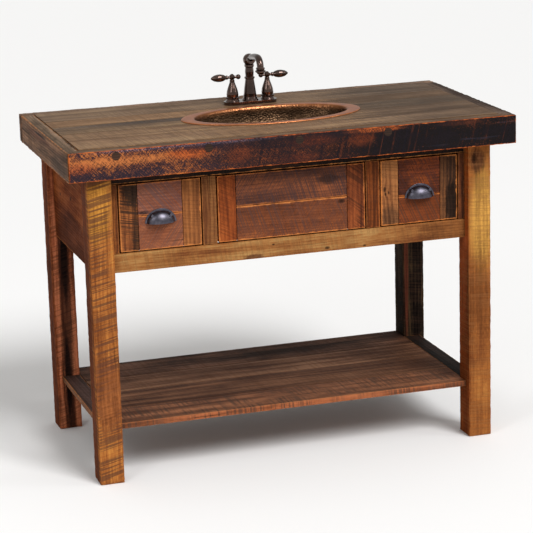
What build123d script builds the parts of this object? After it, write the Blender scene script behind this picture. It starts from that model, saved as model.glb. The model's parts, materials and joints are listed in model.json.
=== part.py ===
"""Bathroom vanity in reclaimed barn wood: open stand, two drawers, copper basin, two-handle tap.

Frame: origin on the floor at the middle of the footprint, +X to the right seen from the front,
the front faces -Y, +Z up. Millimetres.
"""
import os

from build123d import *

# ------------------------------------------------------------------ driving dimensions
# counter
top_length = 1220
top_depth = 620
counter_height = 902
edging_height = 79
edging_width = 38
field_thickness = 35
field_board_widths = [112, 100, 108, 84]  # from the front; the last board takes what is left
batten_width = 60
outer_batten_inset = 85  # from the end of the counter to the batten's middle
inner_batten_inset = 295

# stand
leg_width = 66
leg_depth = 70
side_overhang = 55
front_overhang = 46
back_overhang = 6
apron_height = 260
apron_thickness = 20
apron_setback = 18  # side aprons behind the legs' outer faces
back_apron_setback = 4

# face frame
frame_setback = 24
frame_thickness = 20
bottom_rail_height = 51
top_rail_height = 26
end_stile_width = 19
mid_stile_width = 40
drawer_opening_width = 224

# drawers
drawer_reveal = 2.5
front_thickness = 19
front_stile_width = 50
left_lower_board = 92
right_lower_board = 76
centre_lower_board = 92
box_length = 440
box_height = 140
box_wall = 12
box_side_clearance = 1.5
box_lift = 3  # box above the bottom rail
runner_clearance = 0.3
drawer_floor = 6
floor_height = 10
groove_depth = 5
groove_end_clearance = 0.5
ledge_height = 25
ledge_overlap = 17
guide_height = 34
cleat_size = 22
cleat_gap = 6  # panel cleats above the drawer guides

# cup pulls
cup_half_length = 38
cup_depth = 24
cup_height = 33
cup_end_radius = 17
cup_top_radius = 12
cup_wall = 2
flange_width = 4
pull_post_spacing = 50
pull_post_radius = 4
post_height = 21  # screw posts above the cup's mouth
post_length = 15

# shelf
shelf_height = 157
shelf_thickness = 16
shelf_front_setback = 23
shelf_back_setback = 5
shelf_end_width = 51
shelf_board_widths = [128, 142, 130]  # from the front; the last board takes what is left
shelf_cleat_width = 25
shelf_cleat_height = 14
shelf_cleat_inset = 45

# basin
sink_x = 19
sink_y = -18
rim_half_length = 250
rim_half_depth = 138
rim_end_width = 37
rim_side_width = 22
rim_thickness = 3
bowl_depth = 125
bowl_floor_half_length = 118
bowl_floor_half_depth = 62
bowl_wall = 2
cutout_clearance = 8
drain_hole_radius = 22
drain_flange_radius = 31
drain_flange_thickness = 3
drain_body_radius = 21
drain_body_length = 62
strainer_hole_radius = 3.5
strainer_ring_radius = 10
strainer_thickness = 3
tailpiece_radius = 15.9
tailpiece_length = 105
tailpiece_wall = 1.5

# tap
tap_y = 174
tap_spacing = 101.6
tap_hole_radius = 17
plate_length = 152
plate_depth = 50
plate_thickness = 9
bell_height = 64
shank_radius = 10.9
supply_radius = 10.4
shank_length = 52
supply_length = 26
nut_thickness = 8
nut_across = 34
thread_clearance = 0.05
column_height = 108
ball_radius = 17
ball_height = 121.5
spout_radius = 9.5
spout_reach = 104
spout_crown = 138
spout_drop_radius = 24
aerator_length = 17
stem_radius = 5
stem_length = 24
stem_clearance = 0.05
lever_height = 76
lever_reach = 61
lever_neck_radius = 3.6
lever_ball_radius = 7
ball_reach = 18
hub_gap = 0.4
hub_rise = 9  # top of the hub above the lever

# fasteners
plug_radius = 11
plug_depth = 8
plug_below_top = 17
plug_spacing = 243.5
first_plug_inset = 125
screw_radius = 3
screw_length = 55
screw_head_radius = 6
screw_head_length = 5

arris = 1.5  # rounding of every sawn edge

# ------------------------------------------------------------------ levels and planes
half_length = top_length / 2
half_depth = top_depth / 2
top_underside = counter_height - edging_height
field_underside = counter_height - field_thickness

leg_outer = half_length - side_overhang
leg_inner = leg_outer - leg_width
leg_front = -half_depth + front_overhang
leg_back = half_depth - back_overhang
front_leg_back = leg_front + leg_depth
back_leg_front = leg_back - leg_depth

frame_front = leg_front + frame_setback
frame_back = frame_front + frame_thickness
back_apron_face = leg_back - back_apron_setback - apron_thickness
rail_bottom = top_underside - apron_height
opening_bottom = rail_bottom + bottom_rail_height
opening_top = top_underside - top_rail_height
opening_outer = leg_inner - end_stile_width
opening_inner = opening_outer - drawer_opening_width
centre_half = opening_inner - mid_stile_width
front_bottom = opening_bottom + drawer_reveal
front_top = opening_top - drawer_reveal
front_back = frame_front + front_thickness
ledge_top = opening_bottom + box_lift - runner_clearance

os.makedirs("parts", exist_ok=True)


# ------------------------------------------------------------------ helpers
def finish(piece, name):
    """Label a piece and write it."""
    piece.part.label = name
    export_step(piece.part, f"parts/{name}.step")


def boards(name, blocks, grain=Axis.X):
    """One node of sawn blocks, each (x0, x1, y0, y1, z0, z1), rounded along the grain."""
    with BuildPart() as piece:
        for x0, x1, y0, y1, z0, z1 in blocks:
            with BuildSketch(Plane.XY.offset(z0)):
                with Locations(((x0 + x1) / 2, (y0 + y1) / 2)):
                    Rectangle(x1 - x0, y1 - y0)
            extrude(amount=z1 - z0)
        fillet(piece.edges().filter_by(grain), arris)
    finish(piece, name)


def mirrored(block):
    """The same block on the other side of the middle plane."""
    x0, x1, y0, y1, z0, z1 = block
    return (-x1, -x0, y0, y1, z0, z1)


# ------------------------------------------------------------------ legs
for end, y0, y1 in (("front", leg_front, front_leg_back), ("back", back_leg_front, leg_back)):
    boards(f"leg_{end}_left", [(-leg_outer, -leg_inner, y0, y1, 0, top_underside)], Axis.Z)
    boards(f"leg_{end}_right", [(leg_inner, leg_outer, y0, y1, 0, top_underside)], Axis.Z)

# ------------------------------------------------------------------ aprons
apron_outer = leg_outer - apron_setback
side_apron = (
    apron_outer - apron_thickness,
    apron_outer,
    front_leg_back,
    back_leg_front,
    rail_bottom,
    top_underside,
)
boards("apron_right", [side_apron], Axis.Y)
boards("apron_left", [mirrored(side_apron)], Axis.Y)
back_apron_back = back_apron_face + apron_thickness
boards("apron_back", [(-leg_inner, leg_inner, back_apron_face, back_apron_back, rail_bottom, top_underside)])

# ------------------------------------------------------------------ face frame
boards("bottom_rail", [(-leg_inner, leg_inner, frame_front, frame_back, rail_bottom, opening_bottom)])
boards("top_rail", [(-leg_inner, leg_inner, frame_front, frame_back, opening_top, top_underside)])
mid_stile = (centre_half, opening_inner, frame_front, frame_back, opening_bottom, opening_top)
boards("mid_stiles", [mid_stile, mirrored(mid_stile)], Axis.Z)
end_stile = (opening_outer, leg_inner, frame_front, frame_back, opening_bottom, opening_top)
boards("end_stiles", [end_stile, mirrored(end_stile)], Axis.Z)

# ------------------------------------------------------------------ fixed centre panel
panel_half = centre_half - drawer_reveal
panel_inner = panel_half - front_stile_width
panel_joint = front_bottom + centre_lower_board
panel_stile = (panel_inner, panel_half, frame_front, frame_back, front_bottom, front_top)
boards("panel_stiles", [panel_stile, mirrored(panel_stile)], Axis.Z)
boards("panel_lower_board", [(-panel_inner, panel_inner, frame_front, frame_back, front_bottom, panel_joint)])
boards("panel_upper_board", [(-panel_inner, panel_inner, frame_front, frame_back, panel_joint, front_top)])
# two cleats behind the panel reach over the mid stiles and hold it
lower_cleat_z = ledge_top + guide_height + cleat_gap
upper_cleat_z = front_top - 2 * cleat_size
boards(
    "panel_cleats",
    [
        (-opening_inner, opening_inner, frame_back, frame_back + cleat_size, z, z + cleat_size)
        for z in (lower_cleat_z, upper_cleat_z)
    ],
)

# ------------------------------------------------------------------ drawer runners
guide_width = end_stile_width - 1  # stands clear of the leg
ledge = (
    opening_outer - ledge_overlap,
    opening_outer + guide_width,
    frame_back,
    back_apron_face,
    ledge_top - ledge_height,
    ledge_top,
)
guide = (
    opening_outer,
    opening_outer + guide_width,
    frame_back,
    back_apron_face,
    ledge_top,
    ledge_top + guide_height,
)
opening_middle = (opening_outer + opening_inner) / 2


def across_opening(block):
    """The same block on the other side of the right-hand drawer opening."""
    x0, x1, y0, y1, z0, z1 = block
    return (2 * opening_middle - x1, 2 * opening_middle - x0, y0, y1, z0, z1)


for name, outer_block in (("drawer_ledges", ledge), ("drawer_guides", guide)):
    inner_block = across_opening(outer_block)
    boards(name, [outer_block, inner_block, mirrored(outer_block), mirrored(inner_block)], Axis.Y)


# ------------------------------------------------------------------ drawers
def cup(half, depth, height, centre, mode):
    """A cup's bulk: half an oval seen from above, standing on its open mouth, rounded over the top."""
    end_radius = cup_end_radius * depth / cup_depth
    bow_radius = ((half - end_radius) ** 2 + depth**2 - end_radius**2) / (2 * (depth - end_radius))
    span = bow_radius - end_radius
    joint_x = half - end_radius + end_radius * (half - end_radius) / span
    joint_y = end_radius * (bow_radius - depth) / span
    with BuildPart(mode=Mode.PRIVATE) as bulk:
        with BuildSketch(Plane(centre)):
            with BuildLine():
                RadiusArc((-half, 0), (-joint_x, -joint_y), -end_radius)
                RadiusArc((-joint_x, -joint_y), (joint_x, -joint_y), -bow_radius)
                RadiusArc((joint_x, -joint_y), (half, 0), -end_radius)
                Line((half, 0), (-half, 0))
            make_face()
        extrude(amount=height)
        back = bulk.faces().sort_by(Axis.Y)[-1]
        rim = bulk.faces().sort_by(Axis.Z)[-1].edges().filter_by(lambda edge: edge not in back.edges())
        fillet(rim, cup_top_radius * depth / cup_depth)
    add(bulk.part, mode=mode)


def drawer(side, centre_x, lower_board):
    """A drawer: four-board front, box and cup pull."""
    half = drawer_opening_width / 2 - drawer_reveal
    inner = half - front_stile_width
    joint = front_bottom + lower_board
    x0 = centre_x - half
    x1 = centre_x + half
    inner0 = centre_x - inner
    inner1 = centre_x + inner
    stiles = [
        (x0, inner0, frame_front, front_back, front_bottom, front_top),
        (inner1, x1, frame_front, front_back, front_bottom, front_top),
    ]
    boards(f"{side}_drawer_front_stiles", stiles, Axis.Z)
    boards(f"{side}_drawer_lower_board", [(inner0, inner1, frame_front, front_back, front_bottom, joint)])
    boards(f"{side}_drawer_upper_board", [(inner0, inner1, frame_front, front_back, joint, front_top)])

    box_half = drawer_opening_width / 2 - box_side_clearance
    box_inner = box_half - box_wall
    box_bottom = opening_bottom + box_lift
    box_back = front_back + box_length
    floor_bottom = box_bottom + floor_height
    floor_half = box_inner + groove_depth - groove_end_clearance
    floor_front = front_back + box_wall - groove_depth + groove_end_clearance
    floor_back = box_back - box_wall + groove_depth - groove_end_clearance
    groove_half = box_inner + groove_depth
    groove_front = front_back + box_wall - groove_depth
    groove_back = box_back - box_wall + groove_depth
    groove_size = (2 * groove_half, groove_back - groove_front)
    middle_y = (front_back + box_back) / 2

    with BuildPart() as sides:
        with BuildSketch(Plane.XY.offset(box_bottom)):
            for sign in (-1, 1):
                with Locations((centre_x + sign * (box_inner + box_wall / 2), middle_y)):
                    Rectangle(box_wall, box_length)
        extrude(amount=box_height)
        with BuildSketch(Plane.XY.offset(floor_bottom)):
            with Locations((centre_x, middle_y)):
                Rectangle(*groove_size)
        extrude(amount=drawer_floor, mode=Mode.SUBTRACT)
    finish(sides, f"{side}_drawer_sides")

    with BuildPart() as ends:
        with BuildSketch(Plane.XY.offset(box_bottom)):
            for y in (front_back + box_wall / 2, box_back - box_wall / 2):
                with Locations((centre_x, y)):
                    Rectangle(2 * box_inner, box_wall)
        extrude(amount=box_height)
        with BuildSketch(Plane.XY.offset(floor_bottom)):
            with Locations((centre_x, middle_y)):
                Rectangle(*groove_size)
        extrude(amount=drawer_floor, mode=Mode.SUBTRACT)
    finish(ends, f"{side}_drawer_ends")

    with BuildPart() as bottom:
        with BuildSketch(Plane.XY.offset(floor_bottom)):
            with Locations((centre_x, (floor_front + floor_back) / 2)):
                Rectangle(2 * floor_half, floor_back - floor_front)
        extrude(amount=drawer_floor)
    finish(bottom, f"{side}_drawer_bottom")

    mouth_z = (front_bottom + front_top - cup_height - flange_width) / 2
    mouth = Vector(centre_x, frame_front, mouth_z)
    flange_half = cup_half_length + flange_width
    with BuildPart() as pull:
        cup(cup_half_length, cup_depth, cup_height, mouth, Mode.ADD)
        with BuildSketch(Plane.XZ.offset(-frame_front)) as flange:
            with Locations((centre_x, mouth_z + (cup_height + flange_width) / 2)):
                Rectangle(2 * flange_half, cup_height + flange_width)
            fillet(flange.vertices().group_by(Axis.Y)[-1], cup_end_radius + flange_width)
        extrude(flange.sketch, amount=cup_wall)
        cup(cup_half_length - cup_wall, cup_depth - cup_wall, cup_height - cup_wall, mouth, Mode.SUBTRACT)
        with BuildSketch(Plane.XZ.offset(-frame_front)) as posts:
            with Locations((centre_x, mouth_z + post_height)):
                with GridLocations(pull_post_spacing, 1, 2, 1):
                    Circle(pull_post_radius)
        extrude(posts.sketch, amount=post_length)
    finish(pull, f"{side}_drawer_pull")


drawer("left", -opening_middle, left_lower_board)
drawer("right", opening_middle, right_lower_board)

# ------------------------------------------------------------------ shelf
shelf_underside = shelf_height - shelf_thickness
shelf_front = leg_front + shelf_front_setback
shelf_back = leg_back - shelf_back_setback
shelf_edges = [shelf_front]
for width in shelf_board_widths:
    shelf_edges.append(shelf_edges[-1] + width)
shelf_edges.append(shelf_back)
for number in range(len(shelf_edges) - 1):
    y0 = shelf_edges[number]
    y1 = shelf_edges[number + 1]
    boards(f"shelf_board_{number + 1}", [(-leg_inner, leg_inner, y0, y1, shelf_underside, shelf_height)])
shelf_end = (
    leg_inner,
    leg_inner + shelf_end_width,
    front_leg_back,
    back_leg_front,
    shelf_underside,
    shelf_height,
)
boards("shelf_end_right", [shelf_end], Axis.Y)
boards("shelf_end_left", [mirrored(shelf_end)], Axis.Y)
shelf_cleat = (
    leg_inner - shelf_cleat_width,
    leg_inner,
    shelf_front + shelf_cleat_inset,
    shelf_back - shelf_cleat_inset,
    shelf_underside - shelf_cleat_height,
    shelf_underside,
)
boards("shelf_cleats", [shelf_cleat, mirrored(shelf_cleat)], Axis.Y)

# ------------------------------------------------------------------ counter
field_half_length = half_length - edging_width
field_front = -half_depth + edging_width
field_back = half_depth - edging_width
field_edges = [field_front]
for width in field_board_widths:
    field_edges.append(field_edges[-1] + width)
field_edges.append(field_back)
bowl_half_length = rim_half_length - rim_end_width
bowl_half_depth = rim_half_depth - rim_side_width
cutout_half_length = bowl_half_length + bowl_wall + cutout_clearance
cutout_half_depth = bowl_half_depth + bowl_wall + cutout_clearance
plug_xs = [-half_length + first_plug_inset + plug_spacing * index for index in range(4)]
plug_z = counter_height - plug_below_top
edging_inner_face = -half_depth + edging_width
screw_start = -half_depth + plug_depth
screw_end = screw_start + screw_head_length + screw_length

for number in range(len(field_edges) - 1):
    y0 = field_edges[number]
    y1 = field_edges[number + 1]
    with BuildPart() as field_board:
        with BuildSketch(Plane.XY.offset(field_underside)):
            with Locations((0, (y0 + y1) / 2)):
                Rectangle(2 * field_half_length, y1 - y0)
        extrude(amount=field_thickness)
        fillet(field_board.edges().filter_by(Axis.X), arris)
        with BuildSketch(Plane.XY.offset(field_underside)):
            with Locations((sink_x, sink_y)):
                Ellipse(cutout_half_length, cutout_half_depth)
            with Locations((sink_x, tap_y)):
                with GridLocations(tap_spacing, 1, 2, 1):
                    Circle(tap_hole_radius)
        extrude(amount=field_thickness, mode=Mode.SUBTRACT)
        with BuildSketch(Plane.XZ.offset(-edging_inner_face)):
            for x in plug_xs:
                with Locations((x, plug_z)):
                    Circle(screw_radius)
        extrude(amount=edging_inner_face - screw_end, mode=Mode.SUBTRACT)
    finish(field_board, f"counter_board_{number + 1}")

# the front edging is mitred to the ends, and the back edging runs through
with BuildPart() as edging_front:
    with BuildSketch(Plane.XY.offset(top_underside)):
        with BuildLine():
            Polyline(
                (-half_length, -half_depth),
                (half_length, -half_depth),
                (field_half_length, field_front),
                (-field_half_length, field_front),
                close=True,
            )
        make_face()
    extrude(amount=edging_height)
    fillet(edging_front.faces().sort_by(Axis.Y)[0].edges().filter_by(Axis.X), arris)
    with BuildSketch(Plane.XZ.offset(half_depth)):
        for x in plug_xs:
            with Locations((x, plug_z)):
                Circle(plug_radius)
    extrude(amount=-plug_depth, mode=Mode.SUBTRACT)
    with BuildSketch(Plane.XZ.offset(-screw_start)):
        for x in plug_xs:
            with Locations((x, plug_z)):
                Circle(screw_head_radius)
    extrude(amount=-screw_head_length, mode=Mode.SUBTRACT)
    with BuildSketch(Plane.XZ.offset(-screw_start)):
        for x in plug_xs:
            with Locations((x, plug_z)):
                Circle(screw_radius)
    extrude(amount=-edging_width, mode=Mode.SUBTRACT)
finish(edging_front, "edging_front")

for name, sign in (("edging_left", -1), ("edging_right", 1)):
    with BuildPart() as edging_end:
        with BuildSketch(Plane.XY.offset(top_underside)):
            with BuildLine():
                Polyline(
                    (sign * half_length, -half_depth),
                    (sign * half_length, field_back),
                    (sign * field_half_length, field_back),
                    (sign * field_half_length, field_front),
                    close=True,
                )
            make_face()
        extrude(amount=edging_height)
        outer_face = edging_end.faces().sort_by(Axis.X)[0 if sign < 0 else -1]
        fillet(outer_face.edges().filter_by(Axis.Y), arris)
    finish(edging_end, name)

boards("edging_back", [(-half_length, half_length, field_back, half_depth, top_underside, counter_height)])

with BuildPart() as plugs:
    with BuildSketch(Plane.XZ.offset(half_depth)):
        for x in plug_xs:
            with Locations((x, plug_z)):
                Circle(plug_radius)
    extrude(amount=-plug_depth)
finish(plugs, "edging_plugs")

with BuildPart() as screws:
    with BuildSketch(Plane.XZ.offset(-screw_start)):
        for x in plug_xs:
            with Locations((x, plug_z)):
                Circle(screw_head_radius)
    extrude(amount=-screw_head_length)
    with BuildSketch(Plane.XZ.offset(-screw_start)):
        for x in plug_xs:
            with Locations((x, plug_z)):
                Circle(screw_radius)
    extrude(amount=screw_start - screw_end)
finish(screws, "edging_screws")

batten_xs = (half_length - outer_batten_inset, half_length - inner_batten_inset)
batten_blocks = []
for batten_x in batten_xs:
    batten_x0 = batten_x - batten_width / 2
    batten = (batten_x0, batten_x0 + batten_width, field_front, field_back, top_underside, field_underside)
    batten_blocks += [batten, mirrored(batten)]
boards("counter_battens", batten_blocks, Axis.Y)

# ------------------------------------------------------------------ basin
rim_top = counter_height + rim_thickness
bowl_floor = rim_top - bowl_depth


def bowl(wall, mode):
    """The bowl's outline, grown outwards by a wall: ellipses lofted from the rim to the floor."""
    half_way = 0.6
    middle_length = bowl_half_length - (bowl_half_length - bowl_floor_half_length) * (1 - half_way)
    middle_depth = bowl_half_depth - (bowl_half_depth - bowl_floor_half_depth) * (1 - half_way)
    levels = (
        (rim_top, bowl_half_length, bowl_half_depth),
        (rim_top - half_way * bowl_depth, middle_length, middle_depth),
        (bowl_floor - wall, bowl_floor_half_length, bowl_floor_half_depth),
    )
    outlines = []
    for z, level_half_length, level_half_depth in levels:
        with BuildSketch(Plane.XY.offset(z)) as outline:
            with Locations((sink_x, sink_y)):
                Ellipse(level_half_length + wall, level_half_depth + wall)
        outlines.append(outline.sketch)
    loft(outlines, mode=mode)


with BuildPart() as sink:
    with BuildSketch(Plane.XY.offset(counter_height)):
        with Locations((sink_x, sink_y)):
            Ellipse(rim_half_length, rim_half_depth)
    extrude(amount=rim_thickness)
    bowl(bowl_wall, Mode.ADD)
    bowl(0, Mode.SUBTRACT)
    with BuildSketch(Plane.XY.offset(bowl_floor)):
        with Locations((sink_x, sink_y)):
            Circle(drain_hole_radius)
    extrude(amount=-2 * bowl_wall, mode=Mode.SUBTRACT)
finish(sink, "sink")

drain_body_end = bowl_floor - drain_body_length
with BuildPart() as sink_drain:
    with BuildSketch(Plane.XY.offset(bowl_floor)):
        with Locations((sink_x, sink_y)):
            Circle(drain_flange_radius)
    extrude(amount=drain_flange_thickness)
    with BuildSketch(Plane.XY.offset(drain_body_end)):
        with Locations((sink_x, sink_y)):
            Circle(drain_body_radius)
    extrude(amount=drain_body_length)
    with BuildSketch(Plane.XY.offset(drain_body_end)):
        with Locations((sink_x, sink_y)):
            Circle(tailpiece_radius)
    extrude(amount=drain_body_length + drain_flange_thickness - strainer_thickness, mode=Mode.SUBTRACT)
    with BuildSketch(Plane.XY.offset(bowl_floor - strainer_thickness)):
        with Locations((sink_x, sink_y)):
            with PolarLocations(strainer_ring_radius, 6):
                Circle(strainer_hole_radius)
            Circle(strainer_hole_radius)
    extrude(amount=2 * strainer_thickness + drain_flange_thickness, mode=Mode.SUBTRACT)
finish(sink_drain, "sink_drain")

tailpiece_top = drain_body_end
with BuildPart() as tailpiece:
    with BuildSketch(Plane.XY.offset(tailpiece_top)):
        with Locations((sink_x, sink_y)):
            Circle(tailpiece_radius)
            Circle(tailpiece_radius - tailpiece_wall, mode=Mode.SUBTRACT)
    extrude(amount=-tailpiece_length)
    with BuildSketch(Plane.XY.offset(tailpiece_top)):
        with Locations((sink_x, sink_y)):
            Circle(drain_body_radius)
            Circle(tailpiece_radius, mode=Mode.SUBTRACT)
    extrude(amount=-tailpiece_wall)
finish(tailpiece, "tailpiece")

# ------------------------------------------------------------------ tap
tap_xs = (sink_x - tap_spacing / 2, sink_x + tap_spacing / 2)


def turned(x, y, base, profile, mode=Mode.ADD):
    """Turn a profile of (radius, height) points about the vertical axis at x, y."""
    with BuildSketch(Plane.XZ.offset(-y)) as half_section:
        with BuildLine():
            Polyline(
                (x, base + profile[0][1]),
                *[(x + radius, base + height) for radius, height in profile],
                (x, base + profile[-1][1]),
                close=True,
            )
        make_face()
    revolve(half_section.sketch, axis=Axis((x, y, 0), (0, 0, 1)), mode=mode)


column_base = 24
bell_profile = [(24, 0), (24, 4), (21, 8), (17.5, 13), (17, 16), (19.3, 17.5), (19.3, 20.5), (16, 22)]
bell_profile += [(16.8, 29), (15.6, 37), (12.6, 47), (9.2, 56), (7.4, 61), (7.2, bell_height)]
with BuildPart() as tap_body:
    with BuildSketch(Plane.XY.offset(counter_height)):
        with Locations((sink_x, tap_y)):
            SlotOverall(plate_length, plate_depth)
    extrude(amount=plate_thickness)
    for x in tap_xs:
        turned(x, tap_y, counter_height, bell_profile)
    pedestal_profile = [(24, 0), (24, plate_thickness), (20, 14), (18.5, 20), (18.5, column_base)]
    turned(sink_x, tap_y, counter_height, pedestal_profile)
    for x in tap_xs:
        with BuildSketch(Plane.XY.offset(counter_height)):
            with Locations((x, tap_y)):
                Circle(shank_radius)
        extrude(amount=-shank_length)
        with BuildSketch(Plane.XY.offset(counter_height - shank_length)):
            with Locations((x, tap_y)):
                Circle(supply_radius)
        extrude(amount=-supply_length)
        with BuildSketch(Plane.XY.offset(counter_height + bell_height)):
            with Locations((x, tap_y)):
                Circle(stem_radius + stem_clearance)
        extrude(amount=-stem_length - 1, mode=Mode.SUBTRACT)
finish(tap_body, "tap_body")

with BuildPart() as column:
    column_profile = [(17.5, column_base), (17.5, 28), (15.8, 42), (12.6, 64), (12.2, 68), (14.6, 70)]
    column_profile += [(14.6, 73), (11.4, 75), (12.4, 88), (11.2, 100), (13.5, 103), (13.5, column_height)]
    turned(sink_x, tap_y, counter_height, column_profile)
finish(column, "tap_column")

spout_end = spout_crown - spout_drop_radius
rise_length = spout_reach - spout_drop_radius
rise_height = spout_crown - ball_height
rise_radius = (rise_length**2 + rise_height**2) / (2 * rise_height)  # level at the crown
with BuildPart() as spout:
    with BuildLine(Plane.YZ.offset(sink_x)) as spout_line:
        mouth_point = (tap_y - spout_reach, counter_height + spout_end)
        crown_point = (tap_y - spout_reach + spout_drop_radius, counter_height + spout_crown)
        ball_point = (tap_y, counter_height + ball_height)
        RadiusArc(mouth_point, crown_point, spout_drop_radius)
        RadiusArc(crown_point, ball_point, rise_radius)
    with BuildSketch(Plane.XY.offset(counter_height + spout_end)) as spout_section:
        with Locations((sink_x, tap_y - spout_reach)):
            Circle(spout_radius)
    sweep(spout_section.sketch, path=spout_line.line)
    with Locations((sink_x, tap_y, counter_height + ball_height)):
        Sphere(ball_radius)
    collar_y = tap_y - ball_radius
    with BuildSketch(Plane.XZ.offset(-collar_y)):
        with Locations((sink_x, counter_height + ball_height + 3)):
            Circle(spout_radius + 2.5)
    extrude(amount=5)
    with BuildSketch(Plane.XY.offset(counter_height)):
        with Locations((sink_x, tap_y)):
            Circle(2 * ball_radius)
    extrude(amount=column_height, mode=Mode.SUBTRACT)
finish(spout, "tap_spout")

with BuildPart() as aerator:
    aerator_profile = [(9, spout_end - aerator_length), (10, spout_end - 14), (14.6, spout_end - 11)]
    aerator_profile += [(14.6, spout_end - 8.5), (10.5, spout_end - 6)]
    aerator_profile += [(12.5, spout_end - 3), (12, spout_end)]
    turned(sink_x, tap_y - spout_reach, counter_height, aerator_profile)
finish(aerator, "tap_aerator")

with BuildPart() as tap_nuts:
    with BuildSketch(Plane.XY.offset(field_underside)):
        with Locations((sink_x, tap_y)):
            with GridLocations(tap_spacing, 1, 2, 1):
                RegularPolygon(nut_across / 2, 6, major_radius=False)
                Circle(shank_radius + thread_clearance, mode=Mode.SUBTRACT)
    extrude(amount=-nut_thickness)
finish(tap_nuts, "tap_nuts")

hub_x = tap_xs[0]
hub_base = counter_height + bell_height + hub_gap
hub_top = lever_height + hub_rise - bell_height - hub_gap
lever_z = counter_height + lever_height
with BuildPart() as handle_left:
    hub_profile = [(7, 0), (7, 3), (5.5, 5), (7.4, 8), (8, 12), (7.4, 16), (4, hub_top - 1), (3, hub_top)]
    turned(hub_x, tap_y, hub_base, hub_profile)
    with BuildSketch(Plane.XY.offset(hub_base)) as stem:
        with Locations((hub_x, tap_y)):
            Circle(stem_radius)
    extrude(stem.sketch, amount=-stem_length)
    lever_profile = [(4.2, 0), (3.6, 11), (6, 14), (6, 16), (5, 18), (8.5, 24), (10.6, 33), (10.4, 42)]
    lever_profile += [(8, 52), (4, 58.5), (1.5, lever_reach)]
    with BuildSketch(Plane.XZ.offset(-tap_y)) as lever:
        with BuildLine():
            Polyline(
                (hub_x, lever_z),
                *[(hub_x - reach, lever_z + radius) for radius, reach in lever_profile],
                (hub_x - lever_reach, lever_z),
                close=True,
            )
        make_face()
    revolve(lever.sketch, axis=Axis((hub_x, tap_y, lever_z), (1, 0, 0)))
    with BuildSketch(Plane.YZ.offset(hub_x)) as ball_neck:
        with Locations((tap_y, lever_z)):
            Circle(lever_neck_radius)
    extrude(ball_neck.sketch, amount=ball_reach)
    with Locations((hub_x + ball_reach, tap_y, lever_z)):
        Sphere(lever_ball_radius)
finish(handle_left, "handle_left")

with BuildPart() as handle_right:
    mirror(handle_left.part, about=Plane.YZ.offset(sink_x))
finish(handle_right, "handle_right")
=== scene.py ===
import json
import math

import bpy
from mathutils import Matrix, Vector

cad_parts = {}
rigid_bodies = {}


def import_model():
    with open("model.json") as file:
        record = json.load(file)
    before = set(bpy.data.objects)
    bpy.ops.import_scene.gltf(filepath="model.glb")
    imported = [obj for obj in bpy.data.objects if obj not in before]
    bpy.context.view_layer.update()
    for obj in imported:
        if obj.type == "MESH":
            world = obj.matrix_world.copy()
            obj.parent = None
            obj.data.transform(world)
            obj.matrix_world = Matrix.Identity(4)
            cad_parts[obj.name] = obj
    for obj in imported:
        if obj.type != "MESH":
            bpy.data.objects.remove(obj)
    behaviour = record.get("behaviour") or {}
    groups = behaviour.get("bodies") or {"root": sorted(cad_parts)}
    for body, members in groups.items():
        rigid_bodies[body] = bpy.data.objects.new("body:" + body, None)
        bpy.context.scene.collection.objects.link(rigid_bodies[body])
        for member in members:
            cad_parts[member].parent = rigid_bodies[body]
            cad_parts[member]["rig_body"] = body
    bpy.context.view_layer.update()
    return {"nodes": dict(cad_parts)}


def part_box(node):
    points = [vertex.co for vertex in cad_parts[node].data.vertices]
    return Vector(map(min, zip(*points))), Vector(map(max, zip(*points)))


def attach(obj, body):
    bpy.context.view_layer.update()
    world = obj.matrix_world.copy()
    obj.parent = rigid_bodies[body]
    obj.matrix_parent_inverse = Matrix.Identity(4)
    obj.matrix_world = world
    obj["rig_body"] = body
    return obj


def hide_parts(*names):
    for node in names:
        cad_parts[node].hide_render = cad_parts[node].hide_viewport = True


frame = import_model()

X, Y, Z = 0, 1, 2
nodes = frame["nodes"]


# ------------------------------------------------------------------ shader sums
class Field:
    """A shader socket that takes part in ordinary sums."""

    def __init__(self, finish, socket):
        self.finish = finish
        self.socket = socket

    def sum(self, operation, first, second):
        return self.finish.node("ShaderNodeMath", {"operation": operation}, {0: first, 1: second})

    def __add__(self, other):
        return self.sum("ADD", self, other)

    def __radd__(self, other):
        return self.sum("ADD", other, self)

    def __sub__(self, other):
        return self.sum("SUBTRACT", self, other)

    def __rsub__(self, other):
        return self.sum("SUBTRACT", other, self)

    def __mul__(self, other):
        return self.sum("MULTIPLY", self, other)

    def __rmul__(self, other):
        return self.sum("MULTIPLY", other, self)

    def __truediv__(self, other):
        return self.sum("DIVIDE", self, other)

    def __pow__(self, other):
        return self.sum("POWER", self, other)


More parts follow.
